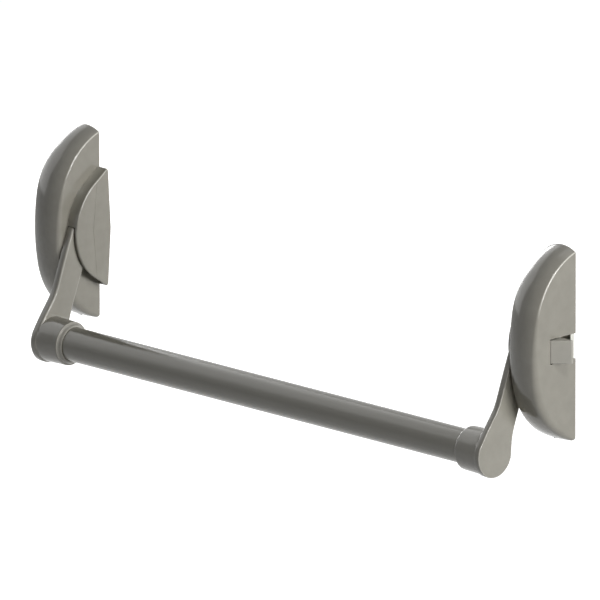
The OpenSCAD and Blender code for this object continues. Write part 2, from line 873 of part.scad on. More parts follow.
// Hub on the pivot spindle: a stop finger towards the door and a spring pin
module return_hub() {
  color(steel)
    on_pivot_side() {
      side_shape(hub_x, hub_x + hub_t)
        translate([pivot_depth, 0])
          difference() {
            union() {
              circle(r = cam_hub_r);
              translate([-stop_l, -stop_half_t])
                square([stop_l, 2 * stop_half_t]);
              rotate([0, 0, spring_pin_angle])
                translate([0, -4])
                  square([spring_pin_at + 3, 8]);
            }
            translate([-square_cam / 2, -square_cam / 2])
              square(square_cam);
          }
      along_x(hub_x - 4.5, hub_x, spring_pin_r, pivot_depth + spring_pin_at * cos(spring_pin_angle),
        spring_pin_at * sin(spring_pin_angle));
    }
}

module hub_circlip() {
  color(steel)
    on_pivot_side()
      difference() {
        along_x(hub_x - clip_t, hub_x, shaft_r + 2.6, pivot_depth, 0);
        along_x(hub_x - 2, hub_x + 1, shaft_r, pivot_depth, 0);
        block(hub_x - 2, hub_x + 1, pivot_depth - cam_hub_r, pivot_depth, -clip_gap / 2, clip_gap / 2);
      }
}

module pivot_case_cover() {
  color(paint)
    on_pivot_side()
      case_cover();
}

module pivot_base_plate() {
  color(zinc)
    on_pivot_side()
      base_plate();
}

module pivot_frame() {
  color(zinc)
    on_pivot_side()
      difference() {
        frame_channel();
        along_x(-frame_out - 1, -frame_in + 1, shaft_r + 2, pivot_depth, 0);
      }
}

module pivot_spindle_bush() {
  color(brass)
    on_pivot_side()
      spindle_bush();
}

// Small bush in the far wall of the pivot frame
module pivot_inner_bush() {
  color(brass)
    on_pivot_side()
      difference() {
        union() {
          along_x(-frame_out, -frame_in, shaft_r + 2, pivot_depth, 0);
          along_x(-frame_in, -frame_in + bush_flange_t, shaft_r + 4, pivot_depth, 0);
        }
        along_x(-frame_out - 5, -frame_in + 5, shaft_r + journal_fit, pivot_depth, 0);
      }
}

module pivot_arm_cheek() {
  color(paint)
    on_pivot_side()
      arm_cheek();
}

module pivot_cheek_bush() {
  color(rubber)
    on_pivot_side()
      cheek_bush();
}

module pivot_cover_screw() {
  color(steel)
    on_pivot_side()
      cover_screw();
}

module pivot_cheek_screws() {
  color(steel)
    on_pivot_side()
      cheek_screws();
}

module pivot_frame_rivets() {
  color(steel)
    on_pivot_side()
      frame_rivets();
}

// Torsion spring round the pivot spindle that brings the bar back
module return_spring() {
  color(steel)
    on_pivot_side()
      translate([spring_x, -pivot_depth, 0])
        rotate([0, 90, 0])
          rotate([0, 0, 180])
            swept_wire(coil_path(spring_r, spring_turns, spring_pitch,
              pivot_depth - frame_base - 0.2, spring_reach, 12), spring_wire / 2);
}

// Rubber blocks on the frame's floor that stop the hub's finger both ways
module stop_buffers() {
  top = (stop_l * sin(push_angle)) + stop_half_t * cos(push_angle);
  color(rubber)
    on_pivot_side() {
      block(hub_x + 0.4, hub_x + 0.4 + buffer_w, frame_base, frame_base + buffer_deep,
        -stop_half_t - stop_gap - buffer_t, -stop_half_t - stop_gap);
      block(hub_x + 0.4, hub_x + 0.4 + buffer_w, frame_base, frame_base + buffer_deep,
        top + stop_gap, top + stop_gap + buffer_t);
    }
}

latch_case_cover();
latch_base_plate();
latch_frame();
bolt_guide();
latch_spindle_bush();
latch_arm_cheek();
latch_cheek_bush();
latch_cover_screw();
latch_cheek_screws();
latch_frame_rivets();
crank_post();
crank_circlip();
crank_spring();
latch_bolt();
bolt_tail_plate();
bolt_rivets();
bolt_pin();
bell_crank();
crank_drive_pin();
drive_cam();
cam_circlip();
latch_spindle();
latch_arm();
push_tube();
pivot_arm();
tube_grub_screws();
pivot_spindle();
return_hub();
hub_circlip();
pivot_case_cover();
pivot_base_plate();
pivot_frame();
pivot_spindle_bush();
pivot_inner_bush();
pivot_arm_cheek();
pivot_cheek_bush();
pivot_cover_screw();
pivot_cheek_screws();
pivot_frame_rivets();
return_spring();
stop_buffers();
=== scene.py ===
import math
import bmesh
import bpy
import numpy as np
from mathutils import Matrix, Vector


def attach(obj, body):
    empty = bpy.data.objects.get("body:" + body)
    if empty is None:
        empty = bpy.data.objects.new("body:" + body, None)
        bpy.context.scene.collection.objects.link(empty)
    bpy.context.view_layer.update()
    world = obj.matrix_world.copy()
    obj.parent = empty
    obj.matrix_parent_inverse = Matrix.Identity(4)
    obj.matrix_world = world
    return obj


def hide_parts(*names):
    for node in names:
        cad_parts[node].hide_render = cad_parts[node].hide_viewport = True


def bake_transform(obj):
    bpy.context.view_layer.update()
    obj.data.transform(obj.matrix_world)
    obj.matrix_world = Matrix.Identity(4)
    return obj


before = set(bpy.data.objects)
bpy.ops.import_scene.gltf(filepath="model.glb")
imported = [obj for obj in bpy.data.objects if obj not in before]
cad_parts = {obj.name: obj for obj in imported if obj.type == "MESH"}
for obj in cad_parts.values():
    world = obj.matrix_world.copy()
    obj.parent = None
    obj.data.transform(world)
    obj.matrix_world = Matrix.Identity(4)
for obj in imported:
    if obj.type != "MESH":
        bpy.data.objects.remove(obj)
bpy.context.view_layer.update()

# Camera: the photograph was taken through a very long lens, 45 degrees to the
# side and 15 degrees above the bar. Its frame is 0.688 m wide at the object.
view_turn, view_rise = math.radians(45.0), math.radians(14.89)
view_from = np.array([math.sin(view_turn) * math.cos(view_rise),
                      -math.cos(view_turn) * math.cos(view_rise), math.sin(view_rise)])
view_middle, view_width = np.array([-0.3800, -0.0420, -0.0127]), 0.6878
sensor_width, lens = 36.0, 1500.0
camera = bpy.data.objects.new("camera", bpy.data.cameras.new("camera"))
bpy.context.scene.collection.objects.link(camera)
bpy.context.scene.camera = camera
camera.data.sensor_width = sensor_width
camera.data.lens = lens
camera.data.clip_end = 60.0
camera.location = view_middle + view_from * (view_width * lens / sensor_width)
camera.rotation_mode = "QUATERNION"
camera.rotation_quaternion = Vector(-view_from).to_track_quat("-Z", "Y")

# Case covers: two zinc die castings, painted a satin warm grey. Each is a hollow
# crowned shell, hooked on its base plate at the top and screwed to it from below.
# The latch case's cover has a notch for the bolt, open to the door.
case_spacing, case_side, case_front, cover_wall = 771.0, 21.0, 65.6, 2.2
spindle_depth, bolt_middle, notch_half, notch_depth = 30.0, 1.0, 14.9, 41.3
front_r, shoulder_r, front_half = 233.0, 91.0, math.radians(10.0)
front_centre = case_front - front_r
shoulder_back = front_centre + (front_r - shoulder_r) * math.cos(front_half)
shoulder_up = (front_r - shoulder_r) * math.sin(front_half)
door_turn = math.acos(-shoulder_back / shoulder_r)

# The crown's rise, and the radius of its edges, against degrees along the outline
crown_rise, crown_share = 5.5, ([-73, -40, 0, 30, 73], [0.25, 0.65, 0.9, 1, 1])
edge_radius = ([-73, -60, -35, -10, 0, 12, 25, 73], [2.4, 6.6, 7.0, 6.0, 4.2, 2.2, 1.5, 1.4])
crown_part = 0.6


def case_outline(turn, out):
    """Side outline of a case moved out along its normal, as depth and height in mm.

    Up to 10 degrees it lies on the front arc, centre + (R + out)(cos, sin), and past
    that on the shoulder arc of its own centre, whose angle is stretched so that the
    last point lies in the door plane."""
    size = np.abs(turn)
    end = np.arccos(np.clip(-shoulder_back / (shoulder_r + out), -1, 1))
    stretched = front_half + (size - front_half) * (end - front_half) / (door_turn - front_half)
    front = size <= front_half
    depth = np.where(front, front_centre + (front_r + out) * np.cos(size),
                     shoulder_back + (shoulder_r + out) * np.cos(stretched))
    height = np.where(front, (front_r + out) * np.sin(size),
                      shoulder_up + (shoulder_r + out) * np.sin(stretched))
    return depth, np.sign(turn) * height


def case_section(turn, inset, across):
    """Section across a case: place along the bar and offset along the normal, in mm.

    For |s| < 0.6 it is the crown c(1 - (x/w)^2). Outside that a cubic Bezier curve with
    handles of 0.6 r turns it into the flat side, over a radius r set by the turn."""
    degrees, hold = np.degrees(turn), 0.6
    crown = crown_rise * np.interp(degrees, *crown_share)
    w = case_side - inset
    r = np.maximum(np.interp(degrees, *edge_radius) - inset / 2, 1)
    s = np.abs(across)
    x_flat = (w - r) * np.minimum(s / crown_part, 1)
    y_flat = crown * (1 - (x_flat / w) ** 2)
    t = np.clip((s - crown_part) / (1 - crown_part), 0, 1)
    x0, y0 = w - r, crown * (1 - ((w - r) / w) ** 2)
    slope = -2 * crown * (w - r) / w ** 2
    b = [(1 - t) ** 3, 3 * t * (1 - t) ** 2, 3 * t ** 2 * (1 - t), t ** 3]
    x_edge = b[0] * x0 + b[1] * (w - (1 - hold) * r) + b[2] * w + b[3] * w
    y_edge = b[0] * y0 + b[1] * (y0 + hold * r * slope) - b[2] * (1 - hold) * r - b[3] * r
    x = np.where(s <= crown_part, x_flat, x_edge)
    y = np.where(s <= crown_part, y_flat, y_edge)
    return np.sign(across) * x, y - inset


def case_skin(inset, rows, cols):
    """Grid of points of one skin of a case: the section carried along the outline, with
    a last column further down each flat side. Next to the door both ends are drawn in
    by the parabola d(1 - depth / l)^2, where below and above have their own d and l."""
    turn, flat = np.linspace(-door_turn, door_turn, rows)[:, None], 1.2
    x, out = case_section(turn, inset, np.linspace(-1, 1, cols)[None, :])
    x = np.concatenate([x[:, :1], x, x[:, -1:]], axis=1)
    out = np.concatenate([out[:, :1] - flat, out, out[:, -1:] - flat], axis=1)
    depth, height = case_outline(turn + 0 * out, out)
    drawn, length = np.where(height < 0, 1.8, 0.8), np.where(height < 0, 4.0, 2.0)
    height = height - np.sign(height) * drawn * np.clip(1 - depth / length, 0, 1) ** 2
    return np.stack([x, -depth, height], axis=-1)


def quads(numbers):
    """Quads between neighbours in a grid of point numbers, row by row."""
    return np.stack([numbers[:-1, :-1], numbers[:-1, 1:], numbers[1:, 1:], numbers[1:, :-1]],
                    axis=-1).reshape(-1, 4)


def ringed(numbers):
    """Grid of point numbers whose last column is its first one again."""
    return np.concatenate([numbers, numbers[:, :1]], axis=1)


def new_mesh(name, points, faces, sharp=35.0):
    """Mesh object from points in mm and faces, turned outwards, smooth but for edges
    over an angle."""
    mesh = bpy.data.meshes.new(name)
    mesh.from_pydata((np.asarray(points, dtype=float).reshape(-1, 3) * 0.001).tolist(), [], faces)
    mesh.validate()
    shell = bmesh.new()
    shell.from_mesh(mesh)
    bmesh.ops.recalc_face_normals(shell, faces=shell.faces)
    shell.to_mesh(mesh)
    shell.free()
    mesh.shade_smooth()
    mesh.set_sharp_from_angle(angle=math.radians(sharp))
    piece = bpy.data.objects.new(name, mesh)
    bpy.context.scene.collection.objects.link(piece)
    return piece


def cut_out(piece, blocks, sharp=35.0, operation="DIFFERENCE"):
    """Takes closed meshes out of a piece, or joins them to it, with an exact Boolean."""
    for block in blocks:
        cutter = piece.modifiers.new("cut", "BOOLEAN")
        cutter.operation = operation
        cutter.solver = "EXACT"
        cutter.object = block
    graph = bpy.context.evaluated_depsgraph_get()
    mesh = bpy.data.meshes.new_from_object(piece.evaluated_get(graph))
    piece.modifiers.clear()
    piece.data = mesh
    mesh.shade_smooth()
    mesh.set_sharp_from_angle(angle=math.radians(sharp))
    for block in blocks:
        bpy.data.objects.remove(block)
    return piece


def block_of(x0, x1, depth0, depth1, z0, z1):
    """Closed block between two corners given as x, depth and height, in mm."""
    corner = [(x, -d, z) for x in (x0, x1) for d in (depth0, depth1) for z in (z0, z1)]
    faces = [[0, 1, 3, 2], [4, 6, 7, 5], [0, 4, 5, 1], [2, 3, 7, 6], [0, 2, 6, 4], [1, 5, 7, 3]]
    return new_mesh("block", corner, faces)


def turned(name, profile, depth, height, sides=128):
    """Closed profile of (x, radius) in mm turned about an axis along the bar at a depth
    and height: point = (x, -depth - r cos a, height + r sin a)."""
    x, r = np.array(profile, dtype=float).T
    a = np.linspace(0, 2 * np.pi, sides, endpoint=False)[:, None]
    points = np.stack([x + 0 * a, -depth - r * np.cos(a), height + r * np.sin(a)], axis=-1)
    numbers = ringed(np.arange(sides * len(x)).reshape(sides, len(x)))
    return new_mesh(name, points, quads(np.concatenate([numbers, numbers[:1]])).tolist())


def case_shell(name):
    """Hollow cover: an outer and an inner skin, flat sides, and a rim at the door."""
    rows, cols = 150, 61
    points = np.stack([case_skin(inset, rows, cols - 2) for inset in (0.0, cover_wall)])
    outer, inner = np.arange(2 * rows * cols).reshape(2, rows, cols)
    rims = np.stack([outer[[0, -1]], inner[[0, -1]]])
    faces = np.concatenate([quads(outer)[:, ::-1], quads(inner), quads(rims[:, 0]),
                            quads(rims[:, 1])[:, ::-1]]).tolist()
    faces += [side.tolist() for side in (outer[::-1, 0], outer[:, -1], inner[:, 0], inner[::-1, -1])]
    faces += [rims[[0, 1, 1, 0], [0, 0, 1, 1], 0].tolist(), rims[[0, 0, 1, 1], [0, 1, 1, 0], -1].tolist()]
    return new_mesh(name, points, faces)


def spindle_hole(x0, x1):
    """Round hole for the spindle, between two places along the bar, as a cutter."""
    core, radius = 0.001, 9.0
    return turned("hole", [(x0, core), (x1, core), (x1, radius), (x0, radius)], spindle_depth, 0.0)


def screw_recess():
    """Recess from below for the head of the cover's screw, as a cutter: the circle
    (r cos a, -depth + r sin a) carried up from -125 to -100 mm."""
    radius, depth = 4.1, 9.0
    a = np.linspace(0, 2 * np.pi, 48, endpoint=False)[None, :]
    z = np.array([[-125.0], [-100.0]])
    points = np.stack([radius * np.cos(a) + 0 * z, radius * np.sin(a) - depth + 0 * z, z + 0 * a], axis=-1)
    numbers = np.arange(a.size * z.size).reshape(z.size, a.size)
    return new_mesh("recess", points, quads(ringed(numbers)).tolist() + numbers.tolist())


def mesh_points(mesh, what="co"):
    """Places of a mesh's points, or their normals, as rows of x, y and z."""
    values = np.empty(len(mesh.vertices) * 3, dtype=np.float32)
    mesh.vertices.foreach_get(what, values)
    return values.reshape(-1, 3)


def set_points(mesh, points):
    """Puts the points of a mesh at rows of x, y and z."""
    mesh.vertices.foreach_set("co", points.astype(np.float32).ravel())
    mesh.update()


def moved(piece, mirrored=False, along=0.0):
    """Mirrors a piece's mesh across the case's middle, or moves it along the bar, in mm."""
    points = mesh_points(piece.data)
    if mirrored:
        points[:, 0] *= -1
        piece.data.flip_normals()
    points[:, 0] += along * 0.001
    set_points(piece.data, points)
    return piece


def noise_at(nodes, links, scale, detail, source):
    """Noise texture in the object's own coordinates, with scale in waves a metre."""
    noise = nodes.new("ShaderNodeTexNoise")
    noise.inputs["Scale"].default_value = scale
    noise.inputs["Detail"].default_value = detail
    links.new(source, noise.inputs["Vector"])
    return noise.outputs["Fac"]


def spread(nodes, links, source, low, high):
    """Maps a texture's middle range, 0.3 to 0.7, to a range of values."""
    ramp = nodes.new("ShaderNodeMapRange")
    ramp.inputs["From Min"].default_value = 0.3
    ramp.inputs["From Max"].default_value = 0.7
    ramp.inputs["To Min"].default_value = low
    ramp.inputs["To Max"].default_value = high
    links.new(source, ramp.inputs["Value"])
    return ramp.outputs["Result"]


def paint_edge_highlights(piece, most, low=-160.0, high=-159.0):
    """Painted highlight on rounded edges, as a point attribute that lightens the paint's colour where a
    gleam of light would fall: the most, times 1 - |lean - 60| / 28 for a normal that leans so many degrees
    towards the bar, times a rise from 0 to 1 between two heights in mm, which by default lie below the
    piece."""
    mesh, edge_lean, fade = piece.data, 60, 28
    lean = np.degrees(np.arcsin(np.clip(np.abs(mesh_points(mesh, "normal")[:, 0]), 0, 1)))
    rise = np.clip((mesh_points(mesh)[:, 2] * 1000 - low) / (high - low), 0, 1)
    painted_highlight = most * rise * np.clip(1 - np.abs(lean - edge_lean) / fade, 0, 1)
    mesh.attributes.new("painted_edge_highlight", "FLOAT", "POINT").data.foreach_set("value", painted_highlight.astype(np.float32))
    return piece


def satin_paint(name, colour, rough, grain=(1, 1, 1), peel=0.08, waves=900):
    """Satin paint on a casting: a faint mottle in the colour, stretched by its grain, a painted highlight
    that lightens the colour to a pale cream where the edge attribute is set, fine flake that varies the
    roughness, and orange-peel waves as bump, in waves a metre."""
    material = bpy.data.materials.new(name)
    material.use_nodes = True
    nodes, links = material.node_tree.nodes, material.node_tree.links
    shader = nodes["Principled BSDF"]
    place = nodes.new("ShaderNodeTexCoord").outputs["Object"]
    stretch = nodes.new("ShaderNodeMapping")
    stretch.inputs["Scale"].default_value = grain
    links.new(place, stretch.inputs["Vector"])
    tint = nodes.new("ShaderNodeMix")
    tint.data_type = "RGBA"
    tint.inputs["A"].default_value = (*[c * 0.95 for c in colour], 1)
    tint.inputs["B"].default_value = (*[c * 1.05 for c in colour], 1)
    mottle = noise_at(nodes, links, 60, 3, stretch.outputs["Vector"])
    links.new(spread(nodes, links, mottle, 0, 1), tint.inputs["Factor"])
    # Painted highlight: the edge attribute mixes the colour towards a pale cream
    highlight_input = nodes.new("ShaderNodeAttribute")
    highlight_input.attribute_name = "painted_edge_highlight"
    edge = nodes.new("ShaderNodeMix")
    edge.data_type = "RGBA"
    edge.inputs["B"].default_value = (0.86, 0.84, 0.76, 1)
    links.new(highlight_input.outputs["Fac"], edge.inputs["Factor"])
    links.new(tint.outputs["Result"], edge.inputs["A"])
    links.new(edge.outputs["Result"], shader.inputs["Base Color"])
    flake = noise_at(nodes, links, 2600, 2, place)
    links.new(spread(nodes, links, flake, rough - 0.03, rough + 0.03), shader.inputs["Roughness"])
    ripple = nodes.new("ShaderNodeBump")
    ripple.inputs["Strength"].default_value = peel
    ripple.inputs["Distance"].default_value = 0.0002
    links.new(noise_at(nodes, links, waves, 2, place), ripple.inputs["Height"])
    links.new(ripple.outputs["Normal"], shader.inputs["Normal"])
    return material


cover_paint = satin_paint("satin_warm_grey", (0.312, 0.298, 0.254), 0.16)


def dress(piece, material, body, node):
    """Gives a piece its material and body, and hides the CAD node whose place it takes."""
    piece.data.materials.clear()
    piece.data.materials.append(material)
    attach(piece, body)
    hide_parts(node)


bolt_notch = block_of(12.6, 30.0, -5.0, notch_depth, bolt_middle - notch_half, bolt_middle + notch_half)
# Both covers get a painted highlight along their edges, from 42 mm up on the latch cover and from 62 mm up
# on the pivot cover
latch_cover = cut_out(case_shell("latch_cover_shell"),
                      [bolt_notch, spindle_hole(-30.0, -14.0), screw_recess()])
dress(paint_edge_highlights(latch_cover, 0.95, 42, 80), cover_paint, "door_side", "latch_case_cover")
pivot_cover = cut_out(case_shell("pivot_cover_shell"), [spindle_hole(14.0, 30.0), screw_recess()])
pivot_cover = paint_edge_highlights(moved(pivot_cover, along=-case_spacing), 0.95, 62, 98)
dress(pivot_cover, cover_paint, "door_side", "pivot_case_cover")

# Cheeks: a half-round die-cast housing on the inner side of each case, painted
# with it and screwed on from inside the cover. It carries the spindle's outer
# end, and the arm swings out of the slot between it and the case.
cheek_depth, cheek_r, cheek_out, cheek_plate = 52.0, 68.0, 15.2, 12.0
crease_middle, crease_bend, crease_reach = 25.0, 7.2, 68.0


def cheek_ring(inset, back):
    """Outline of the cheek in depth and height: an arc of radius r - inset about its
    centre, which past 56 degrees runs on straight along its tangent, a round corner of
    radius c that starts c / tan(28 degrees) before the door, and the straight side."""
    radius, centre, end, corner = cheek_r - inset, cheek_depth - cheek_r, math.radians(56), 1.5
    start = np.array([centre + radius * math.cos(end), radius * math.sin(end)])
    length, taken = (start[0] - back) / math.sin(end), corner / math.tan(end / 2)
    along, turn = np.linspace(0, 1, 15)[1:, None] * (length - taken), np.linspace(end, math.pi, 9)[1:]
    tail = start + along * [-math.sin(end), math.cos(end)]
    top = start[1] + length * math.cos(end) - taken
    bend = np.stack([back + corner + corner * np.cos(turn), top + corner * np.sin(turn)], axis=-1)
    arc, side = np.linspace(-end, end, 213), np.linspace(1, -1, 62)[1:-1] * top
    return np.concatenate([bend[::-1] * [1, -1], tail[::-1] * [1, -1],
                           np.stack([centre + radius * np.cos(arc), radius * np.sin(arc)], axis=-1),
                           tail, bend, np.stack([0 * side + back, side], axis=-1)])


def cheek_rise(depth, height):
    """Rise of the cheek's face behind a crease that bends at mid height, in mm: a ruled
    surface with one rise at the middle of the door's edge and another at its corners."""
    middle, corner = 3.2, -1.0
    half = np.minimum(np.abs(height) / crease_reach, 1)
    behind = np.clip(1 - depth / (crease_middle - crease_bend * half), 0, 1)
    return behind * (middle + (corner - middle) * half)


def cheek_crease(depth, height):
    """Distance of points of the cheek's face behind its bent crease, in mm."""
    return crease_middle - crease_bend * np.abs(height) / crease_reach - depth


def cheek_shell(name):
    """Cheek as one closed skin. Rings of its outline go from the middle of the plate's
    inner face over the rim's foot and its round edge to the middle of its outer face,
    and the arm's slot is cut out of the rim. The face is split along its creases,
    raised behind them, and each crease becomes a shallow groove."""
    edge, wall, groove_half, groove_deep, middle = 1.6, 2.5, 0.6, 0.3, np.array([22.0, 0.0])
    foot = cheek_ring(wall, wall)
    rows = [(cheek_plate, foot), (0.0, foot), (0.0, cheek_ring(0.0, 0.0))]
    rows += [(cheek_out - edge * (1 - math.sin(a)), cheek_ring(edge * (1 - math.cos(a)), 0.0))
             for a in np.linspace(0, math.pi / 2, 7)]
    rim = rows[-1][1]
    rows += [(cheek_out, rim + (middle - rim) * share) for share in np.linspace(0, 1, 33)[1:-1]]
    count, n = len(rows), len(rim)
    points = [np.column_stack([np.full(n, case_side + level), -ring[:, 0], ring[:, 1]])
              for level, ring in rows]
    points += [[[case_side + cheek_plate, -middle[0], 0.0]], [[case_side + cheek_out, -middle[0], 0.0]]]
    numbers = ringed(np.arange(count * n).reshape(count, n))
    inner, outer = numbers[0], numbers[-1]
    faces = quads(numbers).tolist()
    faces += np.stack([inner[1:], inner[:-1], np.full(n, count * n)], axis=-1).tolist()
    faces += np.stack([outer[:-1], outer[1:], np.full(n, count * n + 1)], axis=-1).tolist()
    arm_slot = block_of(case_side - 3.0, case_side + cheek_plate + 0.1, 2.6, 60.0, -80.0, 8.0)
    piece = cut_out(new_mesh(name, np.concatenate(points), faces), [arm_slot], 40.0)
    # Painted highlight along the cheek's edges, from 12 mm up
    paint_edge_highlights(piece, 0.75, 12, 50)
    mesh, skin = piece.data, bmesh.new()
    skin.from_mesh(mesh)
    creases = [(shift, (0, crease_reach, lean)) for shift in (-groove_half, 0, groove_half)
               for lean in (crease_bend, -crease_bend)] + [(0, (0, 0, 1))]
    for shift, across in creases:
        bmesh.ops.bisect_plane(skin, geom=skin.verts[:] + skin.edges[:] + skin.faces[:], dist=1e-7,
                               plane_co=(0, -(crease_middle + shift) * 0.001, 0), plane_no=across)
    bmesh.ops.remove_doubles(skin, verts=skin.verts[:], dist=2e-6)
    skin.to_mesh(mesh)
    skin.free()
    out, depth, height = (mesh_points(mesh) * [1000, -1000, 1000] - [case_side, 0, 0]).T
    behind = cheek_crease(depth, height)
    sunk = np.where(out > cheek_out - 0.1, groove_deep * np.clip(1 - np.abs(behind) / groove_half, 0, 1), 0)
    out = out + np.where(out > cheek_out - edge - 0.1, cheek_rise(depth, height), 0) - sunk
    set_points(mesh, np.column_stack([out + case_side, -depth, height]) * 0.001)
    ends = np.empty(len(mesh.edges) * 2, dtype=np.int32)
    mesh.edges.foreach_get("vertices", ends)
    sharp = np.empty(len(mesh.edges), dtype=bool)
    mesh.edges.foreach_get("use_edge_sharp", sharp)
    on_face = out > cheek_out - 0.4
    for line in (np.abs(behind) < 0.02, np.abs(np.abs(behind) - groove_half) < 0.02,
                 (np.abs(height) < 0.01) & (behind > 0)):
        sharp |= (line & on_face)[ends.reshape(-1, 2)].all(axis=1)
    mesh.edges.foreach_set("use_edge_sharp", sharp)
    mesh.update()
    return piece


latch_cheek = moved(cheek_shell("latch_cheek_housing"), mirrored=True)
dress(latch_cheek, cover_paint, "door_side", "latch_arm_cheek")
pivot_cheek = moved(cheek_shell("pivot_cheek_housing"), along=-case_spacing)
dress(pivot_cheek, cover_paint, "door_side", "pivot_arm_cheek")

# Arms: two die castings in the same paint, each squared on its spindle. The shank
# flares to a round end, from which a tapered cup with a thin lip takes the tube.
tube_depth, tube_height, tube_r = 86.0, -118.5, 20.0
arm_in, arm_out, arm_end_r, arm_hub_r = 21.8, 31.0, 27.0, 18.5


def corner_cut(points, times=3):
    """Smooths a closed polyline: each corner is cut at a quarter of its two sides."""
    for _ in range(times):
        ahead = np.roll(points, -1, axis=0)
        points = np.stack([0.75 * points + 0.25 * ahead, 0.25 * points + 0.75 * ahead],
                          axis=1).reshape(-1, 2)
    return points


def rounded_slab(name, outline, x0, x1, round0, round1, steps=6):
    """Closed slab of an outline of depth and height, between two places along the bar.
    Ring a of an edge lies r(1 - cos a) inside the outline along its normal, and
    r(1 - sin a) below its face."""
    along = np.roll(outline, -1, axis=0) - np.roll(outline, 1, axis=0)
    along /= np.linalg.norm(along, axis=1)[:, None]
    normal = np.column_stack([along[:, 1], -along[:, 0]])
    ahead = np.roll(outline, -1, axis=0)
    if np.sum(outline[:, 0] * ahead[:, 1] - ahead[:, 0] * outline[:, 1]) < 0:
        outline, normal = outline[::-1], -normal[::-1]
    a = np.linspace(0, math.pi / 2, steps + 1)
    level = np.concatenate([x0 + round0 * (1 - np.sin(a[::-1])), x1 - round1 * (1 - np.sin(a))])
    inset = np.concatenate([round0 * (1 - np.cos(a[::-1])), round1 * (1 - np.cos(a))])
    depth, height = np.moveaxis(outline - normal * inset[:, None, None], -1, 0)
    numbers = np.arange(depth.size).reshape(depth.shape)
    faces = quads(ringed(numbers)).tolist() + [numbers[0].tolist(), numbers[-1, ::-1].tolist()]
    return new_mesh(name, np.stack([level[:, None] + 0 * depth, -depth, height], axis=-1), faces, 40.0)


def arm_outline():
    """Outline of an arm as depth and height: a hub about the spindle, a shank that
    widens on its front side, and a round end a little below the tube's axis."""
    end = np.array([tube_depth + 0.5, tube_height - 1.0])
    low = np.radians(np.linspace(33, -166, 30))
    hub = np.radians(np.linspace(205, 27, 20))
    return corner_cut(np.concatenate([
        [[51.5, 7.6], [53.6, 5.5], [58.0, -6.0], [63.5, -20.0], [70.5, -39.0], [77.0, -57.0], [80.3, -64.5],
         [84.5, -71.0], [91.0, -79.6], [101.0, -92.6]],
        end + arm_end_r * np.column_stack([np.cos(low), np.sin(low)]),
        [[58.6, -104.0], [54.4, -90.0], [47.5, -72.0], [41.5, -57.0], [36.5, -44.0], [27.0, -26.0]],
        np.array([spindle_depth, 0.0]) + arm_hub_r * np.column_stack([np.cos(hub), np.sin(hub)]),
        [[47.5, 7.6]]]), 2)


def cup_profile():
    """Section of the cup from the arm to the lip, as place and radius: a slow taper, a
    rim rounded by 1.3 mm, a lip that slopes in to the tube, and the bore."""
    turn, bore_r = np.linspace(0, math.pi / 2, 7), tube_r + 0.05
    return np.concatenate([
        [(27.5, 26.4), (32.0, 26.7), (38.0, 26.45), (46.0, 26.2), (54.0, 25.95), (59.5, 25.75)],
        np.column_stack([61.0 + 1.3 * np.sin(turn), 24.4 + 1.3 * np.cos(turn)]),
        [(62.3, 24.0), (62.5, 23.6), (64.4, 22.7), (65.9, 21.9), (66.2, 21.6), (66.2, 20.3), (65.8, bore_r),
         (56.0, bore_r), (34.2, bore_r), (34.2, 10.0), (27.5, 10.0)]])


def arm_casting(name):
    """One arm: the slab with rounded edges and a square hole, joined with its cup."""
    half, inner_edge, outer_edge = 5.5, 1.2, 2.6
    slab = rounded_slab(name, arm_outline(), arm_in, arm_out, inner_edge, outer_edge)
    square_hole = block_of(arm_in - 3, arm_out + 3, spindle_depth - half, spindle_depth + half, -half, half)
    cup = turned("cup", cup_profile(), tube_depth, tube_height, 144)
    return cut_out(cut_out(slab, [square_hole], 40.0), [cup], 40.0, "UNION")


# Both arms get a painted highlight along their edges at every height
latch_arm = moved(arm_casting("latch_arm_casting"), mirrored=True)
dress(paint_edge_highlights(latch_arm, 0.45), cover_paint, "push_bar", "latch_arm")
pivot_arm = moved(arm_casting("pivot_arm_casting"), along=-case_spacing)
dress(paint_edge_highlights(pivot_arm, 0.45), cover_paint, "push_bar", "pivot_arm")

# Push tube: drawn steel tube of 40 mm, powder coated in the same grey. Its ends
# stand in the arms' cups, and a grub screw from below holds each.
tube_end, tube_wall = arm_out + 3.0, 1.6
push_tube = turned("push_tube_coated", [
    (-case_spacing + tube_end, tube_r), (-tube_end, tube_r), (-tube_end, tube_r - tube_wall),
    (-case_spacing + tube_end, tube_r - tube_wall)], tube_depth, tube_height, 160)

# The coat's mottle is drawn out along the tube, and it is duller than on the castings
tube_coat = satin_paint("coated_tube_grey", (0.262, 0.252, 0.210), 0.22, grain=(0.08, 1, 1))
dress(push_tube, tube_coat, "push_bar", "push_tube")

# Latch bolt: a die-cast block in the same grey that slides in the case. Its nose
# is bevelled at 45 degrees where it meets the keeper as the door shuts.
bolt_half, bolt_edge = 13.6, 0.9


def bolt_outline():
    """Plan of the bolt as x and depth in mm. Each corner c is turned by the parabola
    (1 - t)^2 (c + ru) + 2t(1 - t) c + t^2 (c + rv) between its two sides u and v."""
    corner = np.array([[9.3, 41.0], [21.3, 41.0], [38.3, 24.0], [38.3, 21.5], [9.3, 21.5]])[:, None]
    radius = np.array([0.6, 1.2, 1.0, 0.8, 0.6])[:, None, None]
    before, after = np.roll(corner, 1, axis=0) - corner, np.roll(corner, -1, axis=0) - corner
    u = before / np.linalg.norm(before, axis=-1, keepdims=True)
    v = after / np.linalg.norm(after, axis=-1, keepdims=True)
    t = np.linspace(0, 1, 7)[:, None]
    return ((1 - t) ** 2 * (corner + u * radius) + 2 * t * (1 - t) * corner
            + t ** 2 * (corner + v * radius)).reshape(-1, 2)


